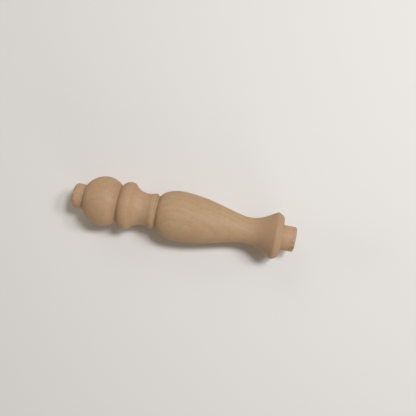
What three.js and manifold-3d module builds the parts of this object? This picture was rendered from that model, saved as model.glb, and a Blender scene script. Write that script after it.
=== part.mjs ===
// A small turned wooden baluster, lying on its side with its axis along X.
// From the ball end (low X) to the flared end (high X) it has a round tenon, a ball, a groove,
// a half-bead, a cove, a narrow collar, a second groove, a vase-shaped belly that tapers to a
// neck, a flared rim with a flat shoulder, and a second round tenon. It is one piece of wood.
// Units are millimetres and Z is up. The origin is on the floor, under the middle of the part.

import * as THREE from 'three';
import { mergeVertices } from 'three/addons/utils/BufferGeometryUtils.js';
import Module from 'manifold-3d';

// Radii are measured from the turning's axis, and widths, lengths and runs along it.

// Round tenons, which go into holes drilled in the rails.
const TENON_RADIUS = 5;
const BALL_TENON_LENGTH = 4.9;
const BALL_TENON_ROUNDING = 1.4;
const FLARE_TENON_LENGTH = 5.6;
const FLARE_TENON_ROUNDING = 0.75;

// Ball: it rises from a narrow shoulder to its fullest ring, then falls more steeply to the groove.
const BALL_RADIUS = 9.95;
const BALL_SHOULDER_HEIGHT = 0.65;
const BALL_RISE_RUN = 7.75;
const BALL_FALL_RUN = 6;
const BALL_GROOVE_DEPTH = 2.4;

// Half-bead: round towards the ball, with a narrow land that ends in an edge over the cove.
const BEAD_RADIUS = 9.7;
const BEAD_RISE_RUN = 3.75;
const BEAD_LAND_WIDTH = 1.15;
const BEAD_LAND_DROP = 0.15;

// Cove: one circular arc, from the bead's edge down to its waist and a little way up again.
const COVE_FALL_RUN = 5.85;
const COVE_DEPTH = 3.1;
const COVE_RISE_RUN = 1.55;

// Collar: a narrow band that widens towards the belly and ends in an edge over the second groove.
const COLLAR_RADIUS = 7.2;
const COLLAR_WIDTH = 2.2;
const COLLAR_TAPER = 0.2;
const COLLAR_GROOVE_WIDTH = 1.1;
const COLLAR_GROOVE_DEPTH = 1.25;

// Belly: it swells out of the groove to the fullest ring of the vase.
const BELLY_RADIUS = 10;
const BELLY_RISE_RUN = 8.6;
const BELLY_START_ANGLE = THREE.MathUtils.degToRad(78);

// Taper: one long curve from the belly to the neck. A fullness is the share of the run over
// which the curve keeps close to the level it has at that end.
const TAPER_RUN = 28;
const BELLY_FULLNESS = 0.467;
const NECK_RADIUS = 5.25;
const NECK_FULLNESS = 0.216;

// Flare: the neck opens like a trumpet as far as the rim.
const FLARE_RUN = 11;
const FLARE_START_FULLNESS = 0.45;
const FLARE_END_FULLNESS = 0.365;
const FLARE_END_SLOPE = THREE.MathUtils.degToRad(28.5);

// Rim: a sloping band from the flare's widest ring to the flat shoulder round the tenon.
const RIM_RADIUS = 9.6;
const RIM_WIDTH = 2.5;
const RIM_DROP = 1.25;
const RIM_EDGE_ROUNDING = 0.3;

// The underside of the ball and the belly is dressed flat, so that the part doesn't roll away.
const FLAT_DEPTH = 0.15;
const AXIS_HEIGHT = Math.min(BALL_RADIUS, BELLY_RADIUS) - FLAT_DEPTH;

// How finely the round surfaces are divided.
const SIDES = 48;
const LONGEST_STEP = 1.15;
const FEWEST_STEPS = 3;
const SAME_POINT = 1e-5;

// Steamed beech, sanded and left without a finish.
const beech = new THREE.MeshStandardMaterial({
  color: 0xb48f6f,
  roughness: 0.62,
  metalness: 0,
});

const QUARTER_TURN = Math.PI / 2;

// The outline is drawn in the plane of one radius: x is the radius and y runs along the axis.
// Each function carries the path on from where the last one left it.

function addBallTenon(path) {
  const end = path.currentPoint.y;
  const flatRadius = TENON_RADIUS - BALL_TENON_ROUNDING;
  path.lineTo(flatRadius, end);
  path.absarc(flatRadius, end + BALL_TENON_ROUNDING, BALL_TENON_ROUNDING, -QUARTER_TURN, 0);
  path.lineTo(TENON_RADIUS, end + BALL_TENON_LENGTH);
}

function addBall(path, grooveRadius) {
  const rootRadius = TENON_RADIUS + BALL_SHOULDER_HEIGHT;
  const rootAngle = Math.acos(rootRadius / BALL_RADIUS);
  const grooveAngle = Math.acos(grooveRadius / BALL_RADIUS);
  const crest = path.currentPoint.y + BALL_RISE_RUN;
  path.absellipse(0, crest, BALL_RADIUS, BALL_RISE_RUN / Math.sin(rootAngle), -rootAngle, 0);
  path.absellipse(0, crest, BALL_RADIUS, BALL_FALL_RUN / Math.sin(grooveAngle), 0, grooveAngle);
}

function addHalfBead(path) {
  const rise = BEAD_RADIUS - path.currentPoint.x;
  const arcRadius = (BEAD_RISE_RUN ** 2 + rise ** 2) / (2 * rise);
  const crest = path.currentPoint.y + BEAD_RISE_RUN;
  const startAngle = Math.atan2(-BEAD_RISE_RUN, arcRadius - rise);
  path.absarc(BEAD_RADIUS - arcRadius, crest, arcRadius, startAngle, 0);
  path.lineTo(BEAD_RADIUS - BEAD_LAND_DROP, crest + BEAD_LAND_WIDTH);
}

function addCove(path) {
  const arcRadius = (COVE_FALL_RUN ** 2 + COVE_DEPTH ** 2) / (2 * COVE_DEPTH);
  const waistRadius = path.currentPoint.x - COVE_DEPTH;
  const waist = path.currentPoint.y + COVE_FALL_RUN;
  const fallAngle = Math.atan2(COVE_FALL_RUN, arcRadius - COVE_DEPTH);
  const riseAngle = Math.asin(Math.min(COVE_RISE_RUN / arcRadius, 1));
  path.absarc(waistRadius + arcRadius, waist, arcRadius, Math.PI + fallAngle, Math.PI - riseAngle, true);
}

function addCollar(path) {
  const start = path.currentPoint.y;
  path.lineTo(COLLAR_RADIUS - COLLAR_TAPER, start);
  path.lineTo(COLLAR_RADIUS, start + COLLAR_WIDTH);
  path.lineTo(COLLAR_RADIUS - COLLAR_GROOVE_DEPTH, start + COLLAR_WIDTH + COLLAR_GROOVE_WIDTH);
}

function addBelly(path) {
  const rise = BELLY_RADIUS - path.currentPoint.x;
  const halfHeight = rise / (1 - Math.cos(BELLY_START_ANGLE));
  const halfLength = BELLY_RISE_RUN / Math.sin(BELLY_START_ANGLE);
  const crest = path.currentPoint.y + BELLY_RISE_RUN;
  path.absellipse(BELLY_RADIUS - halfHeight, crest, halfHeight, halfLength, -BELLY_START_ANGLE, 0);
}

function addTaper(path) {
  const crest = path.currentPoint.y;
  const neck = crest + TAPER_RUN;
  path.bezierCurveTo(
    BELLY_RADIUS, crest + BELLY_FULLNESS * TAPER_RUN,
    NECK_RADIUS, neck - NECK_FULLNESS * TAPER_RUN,
    NECK_RADIUS, neck,
  );
}

function addFlare(path) {
  const neck = path.currentPoint.y;
  const rim = neck + FLARE_RUN;
  const handle = FLARE_END_FULLNESS * FLARE_RUN;
  path.bezierCurveTo(
    NECK_RADIUS, neck + FLARE_START_FULLNESS * FLARE_RUN,
    RIM_RADIUS - handle * Math.sin(FLARE_END_SLOPE), rim - handle * Math.cos(FLARE_END_SLOPE),
    RIM_RADIUS, rim,
  );
}

function addRim(path) {
  const shoulder = path.currentPoint.y + RIM_WIDTH;
  const edgeRadius = RIM_RADIUS - RIM_DROP;
  const fallPerWidth = RIM_DROP / RIM_WIDTH;
  path.lineTo(edgeRadius + RIM_EDGE_ROUNDING * fallPerWidth, shoulder - RIM_EDGE_ROUNDING);
  path.quadraticCurveTo(edgeRadius, shoulder, edgeRadius - RIM_EDGE_ROUNDING, shoulder);
}

function addFlareTenon(path) {
  const shoulder = path.currentPoint.y;
  const end = shoulder + FLARE_TENON_LENGTH;
  const flatRadius = TENON_RADIUS - FLARE_TENON_ROUNDING;
  path.lineTo(TENON_RADIUS, shoulder);
  path.absarc(flatRadius, end - FLARE_TENON_ROUNDING, FLARE_TENON_ROUNDING, 0, QUARTER_TURN);
  path.lineTo(0, end);
}

function balusterOutline() {
  const path = new THREE.Path();
  path.moveTo(0, 0);
  addBallTenon(path);
  addBall(path, Math.min(BALL_RADIUS, BEAD_RADIUS) - BALL_GROOVE_DEPTH);
  addHalfBead(path);
  addCove(path);
  addCollar(path);
  addBelly(path);
  addTaper(path);
  addFlare(path);
  addRim(path);
  addFlareTenon(path);
  return path;
}

// The points of the outline: the ends of its straight lines, and even steps along its curves.
function outlinePoints(path) {
  const points = [path.curves[0].getPoint(0)];
  for (const curve of path.curves) {
    const curvedSteps = Math.max(FEWEST_STEPS, Math.ceil(curve.getLength() / LONGEST_STEP));
    const steps = curve.isLineCurve ? 1 : curvedSteps;
    for (const point of curve.getPoints(steps).slice(1)) {
      if (point.distanceTo(points[points.length - 1]) > SAME_POINT) {
        points.push(point);
      }
    }
  }
  return points;
}

const wasm = await Module();
wasm.setup();

// Make a solid of a closed geometry. Triangles that shrink to a line at the poles are left out.
function toSolid(geometry) {
  const bare = geometry.clone();
  bare.deleteAttribute('normal');
  bare.deleteAttribute('uv');
  const merged = mergeVertices(bare);
  const triangles = [];
  for (let i = 0; i < merged.index.count; i += 3) {
    const [a, b, c] = merged.index.array.slice(i, i + 3);
    if (a !== b && b !== c && c !== a) {
      triangles.push(a, b, c);
    }
  }
  return new wasm.Manifold(new wasm.Mesh({
    numProp: 3,
    vertProperties: new Float32Array(merged.attributes.position.array),
    triVerts: new Uint32Array(triangles),
  }));
}

function toGeometry(solid) {
  const mesh = solid.getMesh();
  const geometry = new THREE.BufferGeometry();
  geometry.setAttribute('position', new THREE.BufferAttribute(mesh.vertProperties, 3));
  geometry.setIndex(new THREE.BufferAttribute(mesh.triVerts, 1));
  geometry.computeVertexNormals();
  return geometry;
}

// The turning is spun about Y, laid down along +X, and centred at its height over the floor.
function turnedGeometry(points) {
  const length = points[points.length - 1].y;
  const geometry = new THREE.LatheGeometry(points, SIDES);
  geometry.rotateZ(-QUARTER_TURN);
  geometry.translate(-length / 2, 0, AXIS_HEIGHT);
  return geometry;
}

// A block that fills the space under the floor, wider and longer than the part.
function underFloorGeometry(part) {
  part.computeBoundingBox();
  const size = part.boundingBox.getSize(new THREE.Vector3()).multiplyScalar(2);
  const geometry = new THREE.BoxGeometry(size.x, size.y, size.z);
  geometry.translate(0, 0, -size.z / 2);
  return geometry;
}

function makeBaluster() {
  const turning = turnedGeometry(outlinePoints(balusterOutline()));
  const dressed = toSolid(turning).subtract(toSolid(underFloorGeometry(turning)));
  const mesh = new THREE.Mesh(toGeometry(dressed), beech);
  mesh.name = 'baluster';
  return mesh;
}

const model = new THREE.Group();
model.add(makeBaluster());

export default model;
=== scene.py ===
# %% [markdown]
# This file dresses one small wooden baluster, of the kind that stands in a row under a gallery rail. It is
# turned from one piece of beech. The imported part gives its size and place. Here it gets its finely turned
# surface, its wood and a quiet studio. Everything is in metres, and the baluster lies along X on the floor
# at Z = 0.

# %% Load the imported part
import math

import bmesh
import bpy
import numpy as np
from mathutils import Matrix, Vector


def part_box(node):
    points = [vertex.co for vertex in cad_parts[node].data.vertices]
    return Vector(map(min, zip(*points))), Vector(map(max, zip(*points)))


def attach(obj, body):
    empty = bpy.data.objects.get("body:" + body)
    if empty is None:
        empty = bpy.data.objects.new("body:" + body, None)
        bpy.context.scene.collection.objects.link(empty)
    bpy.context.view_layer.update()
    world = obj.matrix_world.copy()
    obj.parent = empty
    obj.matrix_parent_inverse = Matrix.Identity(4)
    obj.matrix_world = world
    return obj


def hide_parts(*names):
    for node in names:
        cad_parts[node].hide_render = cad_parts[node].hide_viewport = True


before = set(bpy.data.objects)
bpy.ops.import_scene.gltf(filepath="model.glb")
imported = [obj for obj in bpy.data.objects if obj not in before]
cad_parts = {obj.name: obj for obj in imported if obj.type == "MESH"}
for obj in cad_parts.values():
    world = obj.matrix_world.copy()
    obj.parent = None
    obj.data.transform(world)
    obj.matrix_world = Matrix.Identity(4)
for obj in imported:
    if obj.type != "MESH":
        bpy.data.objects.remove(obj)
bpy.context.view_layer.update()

MM = 0.001
low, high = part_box("baluster")
print("nodes in the frame:", list(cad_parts))
print("baluster box in mm:", [round(v / MM, 2) for v in low], [round(v / MM, 2) for v in high])

# %% [markdown]
# A turner works from one drawing: the outline from the axis outwards. It could be traced by hand as one
# Bezier curve, but mouldings with real sizes are easier to check against the imported part. So a pencil
# moves on from where it stopped, and draws lines, arcs of ellipses and Bezier sweeps, in very short
# steps, because a later step sands its corners. It also notes the places where an edge is worn rounder
# than the others, and the hollows where dust gathers and the wood's colour is darkened as painted shade.
# Its sizes are in millimetres: radii are measured from the axis, and runs and widths along it.

# %% A pencil for outlines
PENCIL_STEP = 0.04
FEWEST_STEPS = 2
QUARTER_TURN = math.pi / 2


class Pencil:
    """Draws an outline as points (distance along the axis, radius), in millimetres."""

    def __init__(self):
        self.points = [(0.0, 0.0)]
        self.dust_and_shade_places = []
        self.worn_places = []

    @property
    def along(self):
        return self.points[-1][0]

    @property
    def radius(self):
        return self.points[-1][1]

    def collect_dust_and_shade(self, share, lean=0.0):
        """Notes dust, and in hollows painted shade, that darkens the colour here, or leans this far towards
        the ball end. A share of 1 is the most.
        """
        self.dust_and_shade_places.append((self.along - lean, self.radius, share))

    def wear(self, share):
        """Notes that the corner where the pencil is now was sanded rounder. A share of 1 is the most."""
        self.worn_places.append((self.along, self.radius, share))

    def follow(self, place, length):
        """Steps along the curve that place(t) gives for t from 0 to 1."""
        steps = max(FEWEST_STEPS, math.ceil(length / PENCIL_STEP))
        self.points += [place(i / steps) for i in range(1, steps + 1)]

    def line(self, along, radius):
        """A straight line to this place on the axis, at this radius."""
        start = self.points[-1]
        end = (along, radius)

        def place(t):
            return tuple(a + t * (b - a) for a, b in zip(start, end))

        self.follow(place, math.dist(start, end))

    def arc(self, centre, half_length, half_height, start, end):
        """An arc of an ellipse. Its angles are 0 at the crest and grow towards the flared end."""

        def place(t):
            angle = start + t * (end - start)
            return (centre[0] + half_length * math.sin(angle), centre[1] + half_height * math.cos(angle))

        self.follow(place, abs(end - start) * max(half_length, half_height))

    def sweep(self, leave, arrive, end):
        """A cubic Bezier curve. It leaves towards its first handle and arrives from its second."""
        start = self.points[-1]

        def place(t):
            shares = ((1 - t) ** 3, 3 * (1 - t) ** 2 * t, 3 * (1 - t) * t * t, t ** 3)
            corners = (start, leave, arrive, end)
            return tuple(sum(s * c[i] for s, c in zip(shares, corners)) for i in (0, 1))

        self.follow(place, math.dist(start, end))


pencil = Pencil()
print("the pencil starts on the axis at the ball end:", pencil.points[0])

# %% [markdown]
# The baluster ends in short round tenons, which are glued into drilled holes. They are cut to the drill's
# size with a parting tool, and their edges are broken so that they start well in the hole. A bevelled
# cylinder would do, but a line and a quarter arc keep the whole turning in one outline, as it is one
# piece of wood.

# %% Draw the tenon at the ball end
TENON_RADIUS = 5.0
TENON_END_DUST = 0.3
BALL_TENON_LENGTH = 4.9
BALL_TENON_ROUNDING = 1.4


def draw_ball_tenon(pencil):
    rounding = BALL_TENON_ROUNDING
    flat_radius = TENON_RADIUS - rounding
    pencil.line(0, flat_radius)
    pencil.collect_dust_and_shade(TENON_END_DUST)
    pencil.arc((rounding, flat_radius), rounding, rounding, -QUARTER_TURN, 0)
    pencil.line(BALL_TENON_LENGTH, TENON_RADIUS)


draw_ball_tenon(pencil)
print(f"tenon at the ball end drawn, up to {pencil.along:.2f} mm")

# %% [markdown]
# The ball and the half-bead are rolled with a skew chisel and meet in a narrow groove. The ball isn't quite
# round: it rises slowly from the tenon and falls more steeply into the groove. Two quarters of different
# ellipses follow that, where a sphere would be too regular. Sanding rounds the groove's bottom, and its
# dust stays there. The groove and the ball's root also get painted shade: their colour is darkened.

# %% Draw the ball and the half-bead
BALL_RADIUS = 9.95
BALL_SHOULDER_HEIGHT = 0.65
BALL_RISE_RUN = 7.75
BALL_FALL_RUN = 6.0
# The root's and the groove's marks darken the colour, as dust and as painted shade in these hollows.
BALL_ROOT_DUST_AND_SHADE = 0.65

BALL_GROOVE_DEPTH = 2.4
BALL_GROOVE_DUST_AND_SHADE = 0.55
BALL_GROOVE_DUST_AND_SHADE_LEAN = 0.7
BALL_GROOVE_WEAR = 0.9

BEAD_RADIUS = 9.7
BEAD_RISE_RUN = 3.75
BEAD_LAND_WIDTH = 1.15
BEAD_LAND_DROP = 0.15


def draw_ball(pencil):
    root_radius = TENON_RADIUS + BALL_SHOULDER_HEIGHT
    groove_radius = min(BALL_RADIUS, BEAD_RADIUS) - BALL_GROOVE_DEPTH
    pencil.collect_dust_and_shade(BALL_ROOT_DUST_AND_SHADE)
    pencil.line(pencil.along, root_radius)
    root_angle = math.acos(root_radius / BALL_RADIUS)
    groove_angle = math.acos(groove_radius / BALL_RADIUS)
    crest = pencil.along + BALL_RISE_RUN
    pencil.arc((crest, 0), BALL_RISE_RUN / math.sin(root_angle), BALL_RADIUS, -root_angle, 0)
    pencil.arc((crest, 0), BALL_FALL_RUN / math.sin(groove_angle), BALL_RADIUS, 0, groove_angle)


def draw_half_bead(pencil):
    pencil.collect_dust_and_shade(BALL_GROOVE_DUST_AND_SHADE, BALL_GROOVE_DUST_AND_SHADE_LEAN)
    pencil.wear(BALL_GROOVE_WEAR)
    rise = BEAD_RADIUS - pencil.radius
    arc_radius = (BEAD_RISE_RUN ** 2 + rise ** 2) / (2 * rise)
    crest = pencil.along + BEAD_RISE_RUN
    start_angle = math.atan2(-BEAD_RISE_RUN, arc_radius - rise)
    pencil.arc((crest, BEAD_RADIUS - arc_radius), arc_radius, arc_radius, start_angle, 0)
    pencil.line(crest + BEAD_LAND_WIDTH, BEAD_RADIUS - BEAD_LAND_DROP)


draw_ball(pencil)
draw_half_bead(pencil)
print(f"ball and half-bead drawn, up to {pencil.along:.2f} mm")

# %% [markdown]
# The cove is one scoop of a spindle gouge, so one circular arc draws it. A ring could be cut out of the
# turning with a Boolean instead, but that would leave uneven faces along the cut. The cove starts at the
# bead's edge, which the paper wears round, and climbs a little into the collar. The collar is a narrow band
# with a slight taper, and its edge stands over the second groove.

# %% Draw the cove and the collar
COVE_FALL_RUN = 5.85
COVE_DEPTH = 3.1
COVE_RISE_RUN = 1.55
COVE_EDGE_WEAR = 0.6

COLLAR_RADIUS = 7.2
COLLAR_WIDTH = 2.2
COLLAR_TAPER = 0.2
COLLAR_FOOT = 0.95
COLLAR_GROOVE_WIDTH = 1.1
COLLAR_GROOVE_DEPTH = 1.25


def draw_cove(pencil):
    pencil.wear(COVE_EDGE_WEAR)
    arc_radius = (COVE_FALL_RUN ** 2 + COVE_DEPTH ** 2) / (2 * COVE_DEPTH)
    centre = (pencil.along + COVE_FALL_RUN, pencil.radius - COVE_DEPTH + arc_radius)
    fall_angle = math.atan2(COVE_FALL_RUN, arc_radius - COVE_DEPTH)
    rise_angle = math.asin(COVE_RISE_RUN / arc_radius)
    pencil.arc(centre, arc_radius, arc_radius, math.pi + fall_angle, math.pi - rise_angle)


def draw_collar(pencil):
    start = pencil.along
    pencil.line(start + COLLAR_FOOT, COLLAR_RADIUS - COLLAR_TAPER)
    pencil.line(start + COLLAR_WIDTH, COLLAR_RADIUS)
    pencil.line(start + COLLAR_WIDTH + COLLAR_GROOVE_WIDTH, COLLAR_RADIUS - COLLAR_GROOVE_DEPTH)


draw_cove(pencil)
draw_collar(pencil)
print(f"cove and collar drawn, up to {pencil.along:.2f} mm")

# %% [markdown]
# The vase swells quickly out of the groove, and then thins in one long cut of the skew chisel to the neck.
# From there it opens like a trumpet to the rim. A turner judges such sweeps by eye. Here a Bezier curve
# does it: its two handles say how long the curve keeps full at each end.

# %% Draw the vase
BELLY_RADIUS = 10.0
BELLY_RISE_RUN = 8.6
BELLY_START_ANGLE = math.radians(78)
BELLY_FULLNESS = 0.467
# The belly's groove gets the same darkening: dust and painted shade together.
BELLY_GROOVE_DUST_AND_SHADE = 0.45
BELLY_GROOVE_DUST_AND_SHADE_LEAN = 0.5
BELLY_GROOVE_WEAR = 0.65

TAPER_RUN = 28.0
NECK_RADIUS = 5.25
NECK_FULLNESS = 0.216


def draw_vase(pencil):
    pencil.collect_dust_and_shade(BELLY_GROOVE_DUST_AND_SHADE, BELLY_GROOVE_DUST_AND_SHADE_LEAN)
    pencil.wear(BELLY_GROOVE_WEAR)
    rise = BELLY_RADIUS - pencil.radius
    half_height = rise / (1 - math.cos(BELLY_START_ANGLE))
    half_length = BELLY_RISE_RUN / math.sin(BELLY_START_ANGLE)
    crest = pencil.along + BELLY_RISE_RUN
    neck = crest + TAPER_RUN
    pencil.arc((crest, BELLY_RADIUS - half_height), half_length, half_height, -BELLY_START_ANGLE, 0)
    pencil.sweep(
        (crest + BELLY_FULLNESS * TAPER_RUN, BELLY_RADIUS),
        (neck - NECK_FULLNESS * TAPER_RUN, NECK_RADIUS),
        (neck, NECK_RADIUS),
    )


draw_vase(pencil)
print(f"vase drawn, up to {pencil.along:.2f} mm")

# %% Draw the flare
FLARE_RUN = 11.0
FLARE_START_FULLNESS = 0.45
FLARE_END_FULLNESS = 0.365
FLARE_END_SLOPE = math.radians(28.5)

RIM_RADIUS = 9.6
RIM_WIDTH = 2.5
RIM_DROP = 1.25
RIM_EDGE_ROUNDING = 0.3
RIM_WEAR = 0.8
RIM_EDGE_WEAR = 0.6


def draw_flare(pencil):
    neck = pencil.along
    rim = neck + FLARE_RUN
    handle = FLARE_END_FULLNESS * FLARE_RUN
    pencil.sweep(
        (neck + FLARE_START_FULLNESS * FLARE_RUN, NECK_RADIUS),
        (rim - handle * math.cos(FLARE_END_SLOPE), RIM_RADIUS - handle * math.sin(FLARE_END_SLOPE)),
        (rim, RIM_RADIUS),
    )
    pencil.wear(RIM_WEAR)
    pencil.line(rim + RIM_WIDTH - RIM_EDGE_ROUNDING, RIM_RADIUS - RIM_DROP)
    pencil.wear(RIM_EDGE_WEAR)
    pencil.line(rim + RIM_WIDTH, RIM_RADIUS - RIM_DROP - RIM_EDGE_ROUNDING)


draw_flare(pencil)
print(f"flare drawn, up to {pencil.along:.2f} mm")

# %% [markdown]
# This tenon stands out of a flat shoulder, which sits against the rail. It could be a cylinder of its own,
# but the real one is turned from the same wood. So the pencil comes straight down the shoulder, goes along
# the tenon and ends on the axis. The outline then starts and ends there, and the turning will be closed.

# %% Draw the tenon at the flared end
FLARE_TENON_LENGTH = 5.6
FLARE_TENON_ROUNDING = 0.75


def draw_flare_tenon(pencil):
    pencil.line(pencil.along, TENON_RADIUS)
    end = pencil.along + FLARE_TENON_LENGTH
    rounding = FLARE_TENON_ROUNDING
    flat_radius = TENON_RADIUS - rounding
    pencil.line(end - rounding, TENON_RADIUS)
    pencil.collect_dust_and_shade(TENON_END_DUST)
    pencil.arc((end - rounding, flat_radius), rounding, rounding, 0, QUARTER_TURN)
    pencil.line(end, 0)


draw_flare_tenon(pencil)
drawn = np.array(pencil.points)
part_length = (high[0] - low[0]) / MM
print(f"outline: {len(drawn)} points, {drawn[-1, 0]:.2f} mm long; the packed part is {part_length:.2f} mm")

# %% [markdown]
# The real turning was sanded on the lathe, so no edge on it is sharp. A bevel on each edge would do,
# but sandpaper works like a blur: it takes the tops off sharp edges and leaves long curves alone. The
# points are spaced evenly and then averaged with a bell-shaped weight as wide as the paper's reach. At
# the worn places a wider blur takes over.

# %% Space the points evenly and blur them
SANDING_REACH = 0.15
WORN_REACH = 0.55
WORN_SPREAD = 1.2
BELL_REACHES = 4
SAME_PLACE = 1e-9


def bell(distance, reach):
    """1 at no distance, falling off like a bell over the reach."""
    return np.exp(-0.5 * (distance / reach) ** 2)


def even_steps(points, step):
    """The same line, with its points one step apart."""
    gaps = np.hypot(*np.diff(points, axis=0).T)
    keep = np.concatenate(([True], gaps > SAME_PLACE))
    travel = np.concatenate(([0.0], np.cumsum(gaps)))[keep]
    places = np.linspace(0, travel[-1], round(travel[-1] / step) + 1)
    return np.column_stack([np.interp(places, travel, column) for column in points[keep].T])


def blurred(values, reach):
    """Values averaged with a bell-shaped weight. The ends are mirrored, so that they stay in place."""
    half = math.ceil(BELL_REACHES * reach / PENCIL_STEP)
    weights = bell(np.arange(-half, half + 1) * PENCIL_STEP, reach)
    before = 2 * values[0] - values[half:0:-1]
    after = 2 * values[-1] - values[-2:-half - 2:-1]
    return np.convolve(np.concatenate((before, values, after)), weights / weights.sum(), mode="valid")


def nearness(places, reach):
    """For each point of the outline, the greatest share of the places near it, fading over the reach."""
    most = np.zeros(len(even))
    for along, radius, share in places:
        distance = np.hypot(even[:, 0] - along, even[:, 1] - radius)
        most = np.maximum(most, share * bell(distance, reach))
    return most


even = even_steps(drawn, PENCIL_STEP)
sanded = np.column_stack([blurred(column, SANDING_REACH) for column in even.T])
worn = np.column_stack([blurred(column, WORN_REACH) for column in even.T])
sanded += nearness(pencil.worn_places, WORN_SPREAD)[:, None] * (worn - sanded)
print(f"sanding moved no point by more than {np.hypot(*(sanded - even).T).max():.3f} mm")

# %% [markdown]
# Two more values are kept for each point: how sharp an edge is there, because paper rubs edges pale, and
# how much darkening lies there: dust, because a cloth doesn't reach into the grooves, and painted shade in
# the grooves and at the roots. Both could be painted on the finished mesh by hand, but the outline already
# knows them. The wood's colour uses both.

# %% Measure edges, dust and painted shade
BEND_REACH = 0.28
GENTLE_BEND = 0.22
# How far the dust and painted shade reach round each marked place.
DUST_AND_SHADE_REACH = 0.8

sanded_steps = np.gradient(sanded, axis=0)
heading = np.unwrap(np.arctan2(sanded_steps[:, 1], sanded_steps[:, 0]))
bend = np.gradient(heading) / PENCIL_STEP
edge = np.clip(blurred(-bend, BEND_REACH) - GENTLE_BEND, 0, 1)
dust_and_shade = nearness(pencil.dust_and_shade_places, DUST_AND_SHADE_REACH)
print(f"sharpest edge {edge.max():.2f}, dustiest place {dust_and_shade.max():.2f}")

# %% [markdown]
# The mesh can't afford all of these points, so only some become rows of the turning. They lie close
# together where the outline bends and far apart on the long curves. Even rows would be simpler, but would
# leave the small edges coarse.

# %% Choose the rows
ROWS = 384
ROWS_PER_BEND = 3.0

closeness = 1 + ROWS_PER_BEND * np.abs(blurred(bend, SANDING_REACH))
progress = np.concatenate(([0.0], np.cumsum((closeness[1:] + closeness[:-1]) / 2)))
chosen = np.interp(np.linspace(0, progress[-1], ROWS), progress, np.arange(len(progress)))


def at_rows(values):
    """These values of the outline's points, at the chosen rows."""
    return np.interp(chosen, np.arange(len(values)), values)


row_along = at_rows(sanded[:, 0])
row_radius = at_rows(sanded[:, 1])
row_heading = at_rows(heading)
row_radius[[0, -1]] = 0.0
print(f"{ROWS} rows, {np.diff(row_along).max():.2f} mm apart at most")

# %% [markdown]
# Geometry Nodes will read the outline from a plain mesh: one vertex for each row, with its direction
# outwards, its edge and its dust and painted shade as named attributes. A curve object would serve too,
# but a mesh keeps the rows just where they were chosen. X is the place on the axis and Z is the radius.

# %% Build the chain
vertices = [(low[0] + x * MM, 0.0, r * MM) for x, r in zip(row_along, row_radius)]
links = [(i, i + 1) for i in range(ROWS - 1)]
outline_mesh = bpy.data.meshes.new("outline")
outline_mesh.from_pydata(vertices, links, [])

outwards = np.column_stack([-np.sin(row_heading), np.zeros(ROWS), np.cos(row_heading)])
outwards[0] = (-1, 0, 0)
outwards[-1] = (1, 0, 0)
outline_mesh.attributes.new("outwards", "FLOAT_VECTOR", "POINT").data.foreach_set("vector", outwards.ravel())
for name, values in (("edge", edge), ("dust_and_shade", dust_and_shade)):
    outline_mesh.attributes.new(name, "FLOAT", "POINT").data.foreach_set("value", at_rows(values))
outline_object = bpy.data.objects.new("outline", outline_mesh)
bpy.context.scene.collection.objects.link(outline_object)
print("outline chain:", len(outline_mesh.vertices), "vertices")

# %% [markdown]
# Both the lathe and the wood will be trees of nodes. They could be wired up by hand in the node editor, but
# this file has to build them itself, and long lists of calls are hard to read. So a wire wraps an output
# socket, and sums on sockets can be written as sums. Its graph adds any other node by its type, its
# settings and its inputs.

# %% A wire
class Wire:
    """An output socket. Arithmetic on wires adds Math nodes to their tree."""

    def __init__(self, graph, socket):
        self.graph = graph
        self.socket = socket

    def __getitem__(self, name):
        """Another output of the same node."""
        return Wire(self.graph, self.socket.node.outputs[name])

    def __add__(self, other):
        return self.graph.maths("ADD", self, other)

    def __radd__(self, other):
        return self.graph.maths("ADD", other, self)

    def __sub__(self, other):
        return self.graph.maths("SUBTRACT", self, other)

    def __rsub__(self, other):
        return self.graph.maths("SUBTRACT", other, self)

    def __mul__(self, other):
        return self.graph.maths("MULTIPLY", self, other)

    def __rmul__(self, other):
        return self.graph.maths("MULTIPLY", other, self)

    def __truediv__(self, other):
        return self.graph.maths("DIVIDE", self, other)

    def __rtruediv__(self, other):
        return self.graph.maths("DIVIDE", other, self)


print("wires can be added, subtracted, multiplied and divided")


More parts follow.
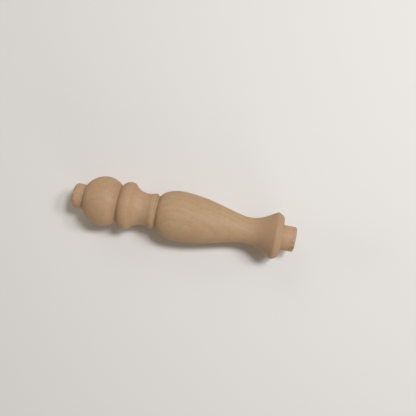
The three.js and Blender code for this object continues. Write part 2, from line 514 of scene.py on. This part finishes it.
# %% A graph
class Graph:
    """A node tree that is written as Python expressions."""

    def __init__(self, tree):
        self.tree = tree

    def node(self, kind, settings=None, inputs=None):
        """Adds a node. Settings are set first, then inputs, by name or number, as values or wires."""
        made = self.tree.nodes.new(kind)
        for name, value in (settings or {}).items():
            setattr(made, name, value)
        for key, value in (inputs or {}).items():
            if isinstance(key, str):
                socket = next(s for s in made.inputs if s.name == key and s.enabled)
            else:
                socket = made.inputs[key]
            if isinstance(value, Wire):
                self.tree.links.new(value.socket, socket)
            else:
                socket.default_value = value
        outputs = [s for s in made.outputs if s.enabled]
        return Wire(self, outputs[0]) if outputs else None

    def maths(self, operation, *values):
        return self.node("ShaderNodeMath", {"operation": operation}, dict(enumerate(values)))

    def vector(self, x, y, z):
        return self.node("ShaderNodeCombineXYZ", None, {"X": x, "Y": y, "Z": z})

    def split(self, vector):
        """A wire whose outputs X, Y and Z can be asked for by name."""
        return self.node("ShaderNodeSeparateXYZ", None, {"Vector": vector})

    def diagonal(self, a, b):
        """The length of the diagonal over two sides."""
        return self.maths("SQRT", a * a + b * b)

    def noise(self, place, detail=2.0, roughness=0.5):
        """Soft noise, with patches one unit wide, over a vector or along a single value."""
        single = place.socket.type == "VALUE"
        settings = {"noise_dimensions": "1D" if single else "3D"}
        inputs = {"W" if single else "Vector": place, "Scale": 1.0, "Detail": detail, "Roughness": roughness}
        return self.node("ShaderNodeTexNoise", settings, inputs)

    def smooth_step(self, value, start, end):
        """0 below start, 1 above end, and a smooth rise between them. It falls if end is below start."""
        rising = start < end
        inputs = {"Value": value, "From Min": min(start, end), "From Max": max(start, end)}
        inputs |= {"To Min": 0.0 if rising else 1.0, "To Max": 1.0 if rising else 0.0}
        return self.node("ShaderNodeMapRange", {"interpolation_type": "SMOOTHSTEP"}, inputs)


print("graphs add nodes by their type, settings and inputs")

# %% [markdown]
# A lathe spins the wood against a fixed outline. The Screw modifier could do that, but Geometry Nodes can
# spin it and work the surface in the same step. The tree's sizes and its seed are named inputs, so that
# they can be changed on the modifier without opening the tree.

# %% The lathe tree's inputs
lathe_tree = bpy.data.node_groups.new("lathe", "GeometryNodeTree")
LATHE_INPUTS = {
    "Outline": "NodeSocketGeometry",
    "Sides": "NodeSocketInt",
    "Axis Height": "NodeSocketFloat",
    "Tool Mark Depth": "NodeSocketFloat",
    "Tool Mark Width": "NodeSocketFloat",
    "Grain Depth": "NodeSocketFloat",
    "Sanding Depth": "NodeSocketFloat",
    "Merge Distance": "NodeSocketFloat",
    "Seed": "NodeSocketFloat",
    "Wood": "NodeSocketMaterial",
}
lathe_sockets = {
    name: lathe_tree.interface.new_socket(name, in_out="INPUT", socket_type=kind).identifier
    for name, kind in LATHE_INPUTS.items()
}
lathe_tree.interface.new_socket("Turning", in_out="OUTPUT", socket_type="NodeSocketGeometry")
lathe = Graph(lathe_tree)
given = lathe.node("NodeGroupInput")
print("lathe inputs:", list(lathe_sockets))

# %% [markdown]
# The turning starts as a flat grid: one row of points for each vertex of the chain, and one column for each
# side, with a last column that will meet the first. A circle could be swept along the outline instead, but
# on a grid a point's number says at once which row and column it is in.

# %% Lay out the grid and find each point's row and column
outline = given["Outline"]
outline_size = lathe.node("GeometryNodeAttributeDomainSize", {"component": "MESH"}, {"Geometry": outline})
columns = given["Sides"] + 1
grid_size = {"Vertices X": outline_size["Point Count"], "Vertices Y": columns}
grid = lathe.node("GeometryNodeMeshGrid", None, grid_size)
index = lathe.node("GeometryNodeInputIndex")
row = lathe.maths("FLOOR", (index + 0.5) / columns)
column = index - row * columns
angle = column / given["Sides"] * (2 * math.pi)


def read_outline(name, kind):
    """A named attribute of the outline, at this point's row."""
    value = lathe.node("GeometryNodeInputNamedAttribute", {"data_type": kind}, {"Name": name})
    settings = {"data_type": kind, "domain": "POINT"}
    inputs = {"Geometry": outline, "Value": value, "Index": row}
    return lathe.node("GeometryNodeSampleIndex", settings, inputs)


place = lathe.split(read_outline("position", "FLOAT_VECTOR"))
facing = lathe.split(read_outline("outwards", "FLOAT_VECTOR"))
print("the grid reads the outline row by row")

# %% [markdown]
# The three reliefs are noises of different shapes. Tool marks only change along the axis and with the
# radius, so they run round the piece. Raised grain is stretched along the axis, where the fibres
# run. Uneven sanding is broad and round. They could be bumps in the material, but then the outline would
# stay perfect. All of them only sink the surface, so the size stays.

# %% Work the surface
MARK_SLOPE = 0.7
MARK_ROUGHNESS = 0.55
MARK_LIMITS = (0.3, 0.7)
RAISED_GRAIN_LENGTH = 7.0 * MM
RAISED_GRAIN_WIDTH = 0.55 * MM
SANDING_PATCH = 5.5 * MM
HOLLOW_LIMITS = (0.25, 0.75)

across = lathe.maths("SINE", angle)
upwards = lathe.maths("COSINE", angle)
start_y = place["Z"] * across
start_z = place["Z"] * upwards
mark_place = (place["X"] + place["Z"] * MARK_SLOPE) / given["Tool Mark Width"]
marks = lathe.noise(mark_place + given["Seed"], roughness=MARK_ROUGHNESS)
grain_place = lathe.vector(
    place["X"] / RAISED_GRAIN_LENGTH + given["Seed"],
    start_y / RAISED_GRAIN_WIDTH,
    start_z / RAISED_GRAIN_WIDTH,
)
raised_grain = lathe.noise(grain_place)
patch_place = lathe.vector(
    place["X"] / SANDING_PATCH - given["Seed"],
    start_y / SANDING_PATCH,
    start_z / SANDING_PATCH,
)
uneven_sanding = lathe.noise(patch_place, detail=1.0)
sink = (
    lathe.smooth_step(marks, *MARK_LIMITS) * given["Tool Mark Depth"]
    + lathe.smooth_step(raised_grain, *HOLLOW_LIMITS) * given["Grain Depth"]
    + lathe.smooth_step(uneven_sanding, *HOLLOW_LIMITS) * given["Sanding Depth"]
)
print("relief: tool marks, raised grain and uneven sanding")

# %% [markdown]
# Each point now gets its place round the axis. What would reach under the floor is set on it, which leaves
# the small flats that the baluster rests on. The first and the last column lie in one place, and so do all
# the points of each pole. Smooth shading would show a seam there, so they are merged.

# %% Roll the grid up and finish the mesh
radius = lathe.maths("MAXIMUM", place["Z"] - facing["Z"] * sink, 0.0)
rolled_place = lathe.vector(
    place["X"] - facing["X"] * sink,
    radius * across,
    lathe.maths("MAXIMUM", given["Axis Height"] + radius * upwards, 0.0),
)
turning = lathe.node("GeometryNodeSetPosition", None, {"Geometry": grid["Mesh"], "Position": rolled_place})
for name in ("edge", "dust_and_shade"):
    turning = lathe.node(
        "GeometryNodeStoreNamedAttribute", {"data_type": "FLOAT", "domain": "POINT"},
        {"Geometry": turning, "Name": name, "Value": read_outline(name, "FLOAT")},
    )
merging = {"Geometry": turning, "Distance": given["Merge Distance"]}
turning = lathe.node("GeometryNodeMergeByDistance", None, merging)
turning = lathe.node("GeometryNodeSetShadeSmooth", None, {"Geometry": turning})
turning = lathe.node("GeometryNodeRealizeInstances", None, {"Geometry": turning})
turning = lathe.node("GeometryNodeSetMaterial", None, {"Geometry": turning, "Material": given["Wood"]})
lathe.node("NodeGroupOutput", None, {0: turning})
print("lathe tree:", len(lathe_tree.nodes), "nodes")

# %% [markdown]
# Beech is steamed to an even pinkish tan. Its growth rings are faint, its pores are too fine to see one by
# one, and its rays show as short dark dashes along the grain, or as wide silky flecks where a surface
# runs the other way. A picture of wood would smear round the mouldings, so the wood here is a solid
# block: every pattern is worked out from the place in the block, and the turning cuts through it. Places in
# it are in millimetres from the turning's axis. The axis lies a little lower than the ball's radius,
# because the ball and the belly rest on small flats.

# %% Where a point lies in the block
GRAIN_SLOPE_SIDE = 0.028
GRAIN_SLOPE_RISE = -0.017
WANDER_LENGTH = 26.0
WANDER_WIDTH = 14.0
WANDER_SIDE = 2.2
WANDER_RISE = 1.4
FLAT_DEPTH = 0.15

beech = bpy.data.materials.new("steamed_beech")
beech.use_nodes = True
beech.node_tree.nodes.clear()
wood = Graph(beech.node_tree)
point = wood.split(wood.node("ShaderNodeTexCoord")["Object"])
axis_height = min(BALL_RADIUS, BELLY_RADIUS) - FLAT_DEPTH
along = point["X"] / MM
side = point["Y"] / MM
rise = point["Z"] / MM - axis_height


def patches(length, width, shift=0.0):
    """The place in the block, counted in patches of this length along the axis and this width across."""
    return wood.vector(along / length + shift, side / width, rise / width)


wander = wood.noise(patches(WANDER_LENGTH, WANDER_WIDTH), detail=1.0) - 0.5
grain_side = side + along * GRAIN_SLOPE_SIDE + wander * WANDER_SIDE
grain_rise = rise + along * GRAIN_SLOPE_RISE - wander * WANDER_RISE
print(f"the axis lies {axis_height:.2f} mm over the floor, and the block's fibres run almost along it")

# %% [markdown]
# A tree grows one ring a year, pale in spring and darker in late summer. The rings lie round the pith, far
# outside this small piece. The distance from the pith gives each point its season. A Wave texture could
# draw rings too, but here their edges stay soft on one side and crisp on the other, as real ones are.

# %% Growth rings
PITH_SIDE = 27.0
PITH_RISE = -34.0
RING_WIDTH = 2.3
RING_DRIFT = 1.6
RING_DRIFT_WIDTH = 6.0
ANY_PLACE = 0.5
LATE_WOOD_RISE = (0.35, 0.93)
LATE_WOOD_FALL = (1.0, 0.95)

from_pith_side = grain_side - PITH_SIDE
from_pith_rise = grain_rise - PITH_RISE
trunk_radius = wood.diagonal(from_pith_side, from_pith_rise)
drift = wood.noise(wood.vector(trunk_radius / RING_DRIFT_WIDTH, ANY_PLACE, ANY_PLACE), detail=1.0)
season = wood.maths("FRACT", trunk_radius / RING_WIDTH + drift * RING_DRIFT)
late_wood = wood.smooth_step(season, *LATE_WOOD_RISE) * wood.smooth_step(season, *LATE_WOOD_FALL)
print("growth rings every", RING_WIDTH, "mm or so")

# %% [markdown]
# Rays are thin ribbons that run from the pith outwards. They could be painted as short strokes, but that
# would only fit one side. Cells of a Voronoi texture, stretched along the radius and the grain, look like
# them from every side: dashes on one face and flecks on the other.

# %% Rays
RAY_LENGTH = 1.9
RAY_SPACING = 0.62
RAY_REACH = 7.0
RAY_LIMITS = (0.34, 0.16)

round_trunk = wood.maths("ARCTAN2", from_pith_side, from_pith_rise) * math.hypot(PITH_SIDE, PITH_RISE)
ray_place = wood.vector(along / RAY_LENGTH, round_trunk / RAY_SPACING, trunk_radius / RAY_REACH)
ray_inputs = {"Vector": ray_place, "Scale": 1.0, "Randomness": 1.0}
ray_cells = wood.node("ShaderNodeTexVoronoi", {"feature": "F1"}, ray_inputs)
rays = wood.smooth_step(ray_cells["Distance"], *RAY_LIMITS)
print("rays about", RAY_LENGTH, "mm long")

# %% [markdown]
# Fibres and pores are noises drawn out along the grain. Pores could be small scratches in the mesh, but at
# a tenth of a millimetre they only show as colour. Two rounder noises shade the wood from rosy to olive,
# because no board has one colour all over.

# %% Fibres, pores and shades
STREAK_LENGTH = 9.0
STREAK_WIDTH = 0.34
STREAK_ROUGHNESS = 0.6
PORE_LENGTH = 2.6
PORE_WIDTH = 0.12
PORE_LIMITS = (0.6, 0.74)
BROAD_SHADE_LENGTH = 17.0
BROAD_SHADE_WIDTH = 8.0
SMALL_SHADE_LENGTH = 3.2
SMALL_SHADE_WIDTH = 2.4
SMALL_SHADE_SHIFT = 7.0


def along_grain(length, width):
    """The place in the block, counted in thin patches that follow the wandering grain."""
    return wood.vector(along / length, grain_side / width, grain_rise / width)


streaks = wood.noise(along_grain(STREAK_LENGTH, STREAK_WIDTH), detail=3.0, roughness=STREAK_ROUGHNESS)
fine_streaks = wood.noise(along_grain(PORE_LENGTH, PORE_WIDTH), detail=1.0)
pores = wood.smooth_step(fine_streaks, *PORE_LIMITS)
broad_shade = wood.noise(patches(BROAD_SHADE_LENGTH, BROAD_SHADE_WIDTH))
small_shade = wood.noise(patches(SMALL_SHADE_LENGTH, SMALL_SHADE_WIDTH, SMALL_SHADE_SHIFT))
print("streaks", STREAK_WIDTH, "mm wide and pores", PORE_WIDTH, "mm wide")

# %% [markdown]
# Where a surface cuts across the fibres it shows end grain, which drinks the light: it is darker and
# warmer. The surface's direction says how much. Edges are rubbed pale, and grooves and roots are darkened
# by dust and by painted shade, by the two values that the outline left on the mesh. The turning tool
# leaves fine lines round the piece. All of this could be painted over the mesh, but this way it follows by
# itself if the outline changes.

# %% End grain, edges, dust and painted shade in the grooves, and turned lines
END_GRAIN_LIMITS = (0.45, 1.0)
LEAST_DUST_AND_SHADE = 0.5
LINE_WIDTH = 0.5
LINE_LIMITS = (0.35, 0.75)

surface_facing = wood.split(wood.node("ShaderNodeTexCoord")["Normal"])
end_grain = wood.smooth_step(wood.maths("ABSOLUTE", surface_facing["X"]), *END_GRAIN_LIMITS)
rubbed = wood.node("ShaderNodeAttribute", {"attribute_name": "edge"})["Fac"]
# Dust and painted shade: the colour darkens in the grooves and at the roots.
dust_and_painted_shade = wood.node("ShaderNodeAttribute", {"attribute_name": "dust_and_shade"})["Fac"] * (small_shade + LEAST_DUST_AND_SHADE)
round_place = along + wood.diagonal(side, rise) * MARK_SLOPE
turned_lines = wood.smooth_step(wood.noise(round_place / LINE_WIDTH), *LINE_LIMITS)
print("turned lines", LINE_WIDTH, "mm wide")

# %% [markdown]
# The tool tears out a few fibres where it parts the tenons off, and these spots look dark. They are too
# shallow to show as chips in the mesh, so they are colour only. They lie on the rounded edges, and hardly
# on the end faces.

# %% Torn spots at the ends
TORN_SPOT = 0.9
TORN_SHIFT = 31.0
TORN_LIMITS = (0.53, 0.63)
TORN_REACH = (2.2, 0.6)
END_FACE_LIMITS = (0.5, 1.0)
END_FACE_LOSS = 0.9

torn_noise = wood.noise(patches(TORN_SPOT, TORN_SPOT, TORN_SHIFT), detail=1.0)
from_end = part_length / 2 - wood.maths("ABSOLUTE", along)
near_end = wood.smooth_step(from_end, *TORN_REACH)
off_end_face = 1.0 - wood.smooth_step(end_grain, *END_FACE_LIMITS) * END_FACE_LOSS
torn = wood.smooth_step(torn_noise, *TORN_LIMITS) * near_end * off_end_face
print("torn spots within", TORN_REACH[0], "mm of each end")

# %% [markdown]
# The tree also leaves broad clouds of colour in its wood. Noise would put them anywhere. These few are
# listed one by one, because they belong to this one piece: a brown one on one side of the bead, a rosy one
# round the bead, and a pinker tan at the tenons. One more brown cloud darkens the flare all round.

# %% Clouds in the wood
CLOUD_BROWN = (0.42, 0.260, 0.150, 1.0)
CLOUD_ROSE = (0.510, 0.285, 0.178, 1.0)
CLOUD_PINK = (0.550, 0.337, 0.210, 1.0)
ALL_ROUND = 60.0
# Each cloud: its middle along the axis and to the side, its reach both ways, its share and its colour.
CLOUDS = (
    (34.0, 0.0, 6.5, ALL_ROUND, 0.78, CLOUD_BROWN),
    (-25.0, 8.5, 7.0, 9.0, 0.42, CLOUD_BROWN),
    (-23.0, 0.0, 13.0, ALL_ROUND, 0.20, CLOUD_ROSE),
    (43.5, 0.0, 5.0, ALL_ROUND, 0.50, CLOUD_PINK),
    (-43.5, 0.0, 5.0, ALL_ROUND, 0.35, CLOUD_PINK),
)


def cloud(middle_along, middle_side, reach_along, reach_side):
    """1 in the middle of a cloud, fading to 0 at its reach."""
    from_middle_along = (along - middle_along) / reach_along
    from_middle_side = (side - middle_side) / reach_side
    squared = from_middle_along * from_middle_along + from_middle_side * from_middle_side
    return wood.smooth_step(squared, 1.0, 0.0)


clouds = [(cloud(*place), share, colour) for *place, share, colour in CLOUDS]
print(len(clouds), "clouds in the wood")

# %% [markdown]
# The colour is built up as a finisher would, in thin layers over a pale ground. Each layer is a Mix node
# with a mask, a greatest share and a colour. One Color Ramp would need fewer nodes, but then no layer
# could be changed alone.

# %% Colour of the wood
PALE_TAN = (0.528, 0.338, 0.192, 1.0)
ROSY_TAN = (0.513, 0.303, 0.180, 1.0)
OLIVE_TAN = (0.470, 0.328, 0.160, 1.0)
LATE_TAN = (0.42, 0.252, 0.136, 1.0)
RAY_BROWN = (0.37, 0.212, 0.110, 1.0)
PORE_BROWN = (0.33, 0.195, 0.102, 1.0)
END_BROWN = (0.37, 0.220, 0.112, 1.0)
RUBBED_TAN = (0.60, 0.405, 0.255, 1.0)
# Dust and painted shade in the grooves and at the roots.
DUST_AND_SHADE_BROWN = (0.15, 0.118, 0.055, 1.0)
TORN_BROWN = (0.20, 0.118, 0.058, 1.0)
ROSY_LIMITS = (0.3, 0.7)
OLIVE_LIMITS = (0.4, 0.65)
STREAK_LIMITS = (0.42, 0.8)
RAY_FADE_IN_LATE_WOOD = 1 / 3

# Each layer: its mask, its greatest share and its colour, from the ground up.
layers = [
    (wood.smooth_step(broad_shade, *ROSY_LIMITS), 1.0, ROSY_TAN),
    (wood.smooth_step(small_shade, *OLIVE_LIMITS), 0.70, OLIVE_TAN),
    (late_wood, 0.30, LATE_TAN),
    (wood.smooth_step(streaks, *STREAK_LIMITS), 0.50, LATE_TAN),
    (turned_lines, 0.14, LATE_TAN),
    *clouds,
    (rays * (1.0 - late_wood * RAY_FADE_IN_LATE_WOOD), 0.36, RAY_BROWN),
    (pores, 0.22, PORE_BROWN),
    (end_grain, 0.30, END_BROWN),
    (rubbed, 0.10, RUBBED_TAN),
    # Dust and painted shade in the grooves and at the roots.
    (dust_and_painted_shade, 0.24, DUST_AND_SHADE_BROWN),
    (torn, 0.75, TORN_BROWN),
]
shade = PALE_TAN
for mask, share, colour in layers:
    inputs = {"Factor": mask * share, "A": shade, "B": colour}
    shade = wood.node("ShaderNodeMix", {"data_type": "RGBA", "clamp_factor": True}, inputs)
print("wood colour:", len(layers), "layers over the pale ground")

# %% [markdown]
# The finest relief would take millions of faces, so a bump does it. It is measured in millimetres, and each
# relief gets a real height. The finest are the sanding scratches, which run round the piece because it was
# sanded while it turned. The gloss follows the same masks: end grain and the dusty, painted-shade hollows
# are duller, and rays and rubbed edges shine a little.

# %% Bump, gloss and the finished shader
SCRATCH_WIDTH = 0.085
SCRATCH_HEIGHT = 0.006
STREAK_HEIGHT = 0.012
FINE_STREAK_HEIGHT = 0.003
FINE_STREAK_LIMITS = (0.2, 0.8)
PORE_DEPTH = 0.010
RAY_DEPTH = 0.003
BARE_ROUGHNESS = 0.60
END_ROUGHER = 0.14
DUST_ROUGHER = 0.10
STREAK_ROUGHER = 0.16
RAY_SMOOTHER = 0.10
RUBBED_SMOOTHER = 0.05
REFLECTION = 0.36

relief = (
    streaks * STREAK_HEIGHT
    + wood.smooth_step(fine_streaks, *FINE_STREAK_LIMITS) * FINE_STREAK_HEIGHT
    + wood.noise(round_place / SCRATCH_WIDTH) * SCRATCH_HEIGHT
    - pores * PORE_DEPTH
    - rays * RAY_DEPTH
)
bump = wood.node("ShaderNodeBump", None, {"Strength": 1.0, "Distance": MM, "Height": relief})
roughness = (
    BARE_ROUGHNESS
    + end_grain * END_ROUGHER
    + dust_and_painted_shade * DUST_ROUGHER
    + (streaks - 0.5) * STREAK_ROUGHER
    - rays * RAY_SMOOTHER
    - rubbed * RUBBED_SMOOTHER
)
surface = wood.node(
    "ShaderNodeBsdfPrincipled", None,
    {"Base Color": shade, "Roughness": roughness, "Normal": bump, "Specular IOR Level": REFLECTION},
)
wood.node("ShaderNodeOutputMaterial", None, {"Surface": surface})
print("beech material:", len(beech.node_tree.nodes), "nodes")

# %% [markdown]
# Now the lathe runs. The modifier could stay on the finished piece, but a plain mesh is easier to export and
# to reuse. So the evaluated result is copied to one, and the outline is deleted with its modifier. The
# modifier's inputs are set by their identifiers, because it doesn't take their names.

# %% Turn the baluster
lathe_settings = {
    "Sides": 250,
    "Axis Height": axis_height * MM,
    "Tool Mark Depth": 0.014 * MM,
    "Tool Mark Width": 0.75 * MM,
    "Grain Depth": 0.008 * MM,
    "Sanding Depth": 0.030 * MM,
    "Merge Distance": 0.002 * MM,
    "Seed": 4.0,
    "Wood": beech,
}
modifier = outline_object.modifiers.new("lathe", "NODES")
modifier.node_group = lathe_tree
for name, value in lathe_settings.items():
    modifier[lathe_sockets[name]] = value
depsgraph = bpy.context.evaluated_depsgraph_get()
turned = outline_object.evaluated_get(depsgraph)
baluster_mesh = bpy.data.meshes.new_from_object(turned, preserve_all_data_layers=True, depsgraph=depsgraph)
baluster_mesh.name = "turned_baluster"
baluster = bpy.data.objects.new("turned_baluster", baluster_mesh)
bpy.context.scene.collection.objects.link(baluster)
bpy.data.objects.remove(outline_object)
print("turned:", len(baluster_mesh.vertices), "vertices,", len(baluster_mesh.polygons), "faces")

# %% [markdown]
# A turning without holes has no open edges, and its signed volume is positive when its faces point
# outwards. Looking at it isn't enough, because a tiny gap hardly shows. So both are measured here, and the
# faces are turned round if they need it.

# %% Check that the turning is closed and faces outwards
checker = bmesh.new()
checker.from_mesh(baluster_mesh)
open_edges = sum(1 for mesh_edge in checker.edges if not mesh_edge.is_manifold)
volume = checker.calc_volume(signed=True)
if volume < 0:
    bmesh.ops.reverse_faces(checker, faces=checker.faces)
    checker.to_mesh(baluster_mesh)
triangles = sum(len(face.verts) - 2 for face in checker.faces)
checker.free()
print(f"open edges: {open_edges}, signed volume: {volume / MM ** 3:.0f} mm3, triangles: {triangles}")

# %% [markdown]
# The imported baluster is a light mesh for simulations. It could be dressed itself, but its 48 sides would
# show. So it stays for collisions, unseen, and the turned one stands for it. The turned one moves with the
# part's only body and takes the finish of its wood.

# %% Tie the piece to the part
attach(baluster, "root")
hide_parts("baluster")
print("the turned baluster stands for the packed one")

# %% [markdown]
# The baluster lies on a plain pale table top. A curved backdrop could follow it upwards, but the picture
# looks down and shows nothing but the table. A single square reaches far past it, and seen from low down
# it ends in a plain level horizon.

# %% Make the floor
FLOOR_HALF_WIDTH = 3.0
FLOOR_COLOUR = (0.818, 0.776, 0.728, 1.0)
FLOOR_ROUGHNESS = 0.9
FLOOR_REFLECTION = 0.2

floor_mesh = bpy.data.meshes.new("floor")
square = [(-1, -1), (1, -1), (1, 1), (-1, 1)]
corners = [(x * FLOOR_HALF_WIDTH, y * FLOOR_HALF_WIDTH, 0.0) for x, y in square]
floor_mesh.from_pydata(corners, [], [(0, 1, 2, 3)])
floor = bpy.data.objects.new("floor", floor_mesh)
bpy.context.scene.collection.objects.link(floor)
floor_material = bpy.data.materials.new("pale_floor")
floor_material.use_nodes = True
floor_inputs = floor_material.node_tree.nodes["Principled BSDF"].inputs
floor_inputs["Base Color"].default_value = FLOOR_COLOUR
floor_inputs["Roughness"].default_value = FLOOR_ROUGHNESS
floor_inputs["Specular IOR Level"].default_value = FLOOR_REFLECTION
floor_mesh.materials.append(floor_material)
print("floor:", 2 * FLOOR_HALF_WIDTH, "m wide")

# %% [markdown]
# Two key lights stand high over the flared end and a little behind it, close together, like two panes of
# one window. Their shadows fall softly towards the ball and the front. Three wide panels and a dim
# surround fill the shadows, as pale walls would. Two of the panels are low, because low light reaches
# the underside of the wood but hardly the table. The panels' beams are narrowed, and the panels stand well
# back, because a near panel leaves a bright pool on the table. One big dome of light would be simpler, but
# the shadows would lose their shape.

# %% Place the lights
KEY_COLOUR = (0.887, 0.934, 1.0)
FILL_COLOUR = (1.0, 0.93, 0.83)
KEY_SPREAD = 180
FILL_SPREAD = 120
# Each light: degrees round from +X, degrees over the table, distance and width in metres, watts, degrees
# that its beam spreads, colour.
LIGHTS = {
    "high_key": (46, 64, 0.65, 0.13, 2.21, KEY_SPREAD, KEY_COLOUR),
    "low_key": (31, 52, 0.65, 0.13, 1.13, KEY_SPREAD, KEY_COLOUR),
    "right_fill": (-52, 12, 1.20, 0.60, 1.25, FILL_SPREAD, FILL_COLOUR),
    "left_fill": (180, 12, 1.60, 0.80, 1.964, FILL_SPREAD, FILL_COLOUR),
    "back_fill": (120, 35, 1.60, 0.80, 1.088, FILL_SPREAD, FILL_COLOUR),
}

middle = Vector([(a + b) / 2 for a, b in zip(low, high)])


def add_light(name, around, over, distance, width, power, spread, colour):
    """A round panel that faces the baluster. The camera doesn't see the panel itself."""
    data = bpy.data.lights.new(name, "AREA")
    data.shape = "DISK"
    data.size = width
    data.energy = power
    data.spread = math.radians(spread)
    data.color = colour
    light = bpy.data.objects.new(name, data)
    flat = math.cos(math.radians(over))
    direction = Vector((
        flat * math.cos(math.radians(around)),
        flat * math.sin(math.radians(around)),
        math.sin(math.radians(over)),
    ))
    light.location = middle + direction * distance
    light.rotation_euler = direction.to_track_quat("Z", "Y").to_euler()
    light.visible_camera = False
    bpy.context.scene.collection.objects.link(light)


for name, settings in LIGHTS.items():
    add_light(name, *settings)
print("lights:", list(LIGHTS))

# %% Add the dim surround
SURROUND_STRENGTH = 0.168

world = bpy.data.worlds.new("surround")
world.use_nodes = True
background = world.node_tree.nodes["Background"]
background.inputs["Color"].default_value = (*FILL_COLOUR, 1.0)
background.inputs["Strength"].default_value = SURROUND_STRENGTH
bpy.context.scene.world = world
print("surround strength:", SURROUND_STRENGTH)

# %% [markdown]
# The photograph looks almost straight down, with the baluster's axis a little turned in the picture. The
# focal length, the camera's distance, its slight tilt and the place that it looks at were fitted to the
# outline in the picture. It could be placed by eye, but then the mouldings couldn't be compared with the
# photograph. That is an ordinary camera picture, so the colours are shown with the Standard view
# transform. The default one would flatten the pale table and grey the wood.

# %% Place the camera
IMAGE_WIDTH = 416
FOCAL_PIXELS = 600.0
MM_PER_PIXEL = 0.3987
AXIS_TURN = math.radians(11.49)
TILT = math.radians(2.31)
AIM_FROM_BALL_ROOT = 48.85
AIM_SIDE = 5.49

camera_data = bpy.data.cameras.new("camera")
camera_data.lens = FOCAL_PIXELS / IMAGE_WIDTH * camera_data.sensor_width
camera = bpy.data.objects.new("camera", camera_data)
turn = Matrix.Rotation(TILT, 4, "Y") @ Matrix.Rotation(AXIS_TURN, 4, "Z")
aim = Vector((low[0] / MM + BALL_TENON_LENGTH + AIM_FROM_BALL_ROOT, AIM_SIDE, axis_height)) * MM
distance = FOCAL_PIXELS * MM_PER_PIXEL * MM
camera.matrix_world = Matrix.Translation(aim) @ turn @ Matrix.Translation((0.0, 0.0, distance))
bpy.context.scene.collection.objects.link(camera)
bpy.context.scene.camera = camera
bpy.context.scene.view_settings.view_transform = "Standard"
camera_height = camera.matrix_world.translation.z / MM
print(f"camera {camera_height:.0f} mm over the floor, lens {camera_data.lens:.1f} mm")
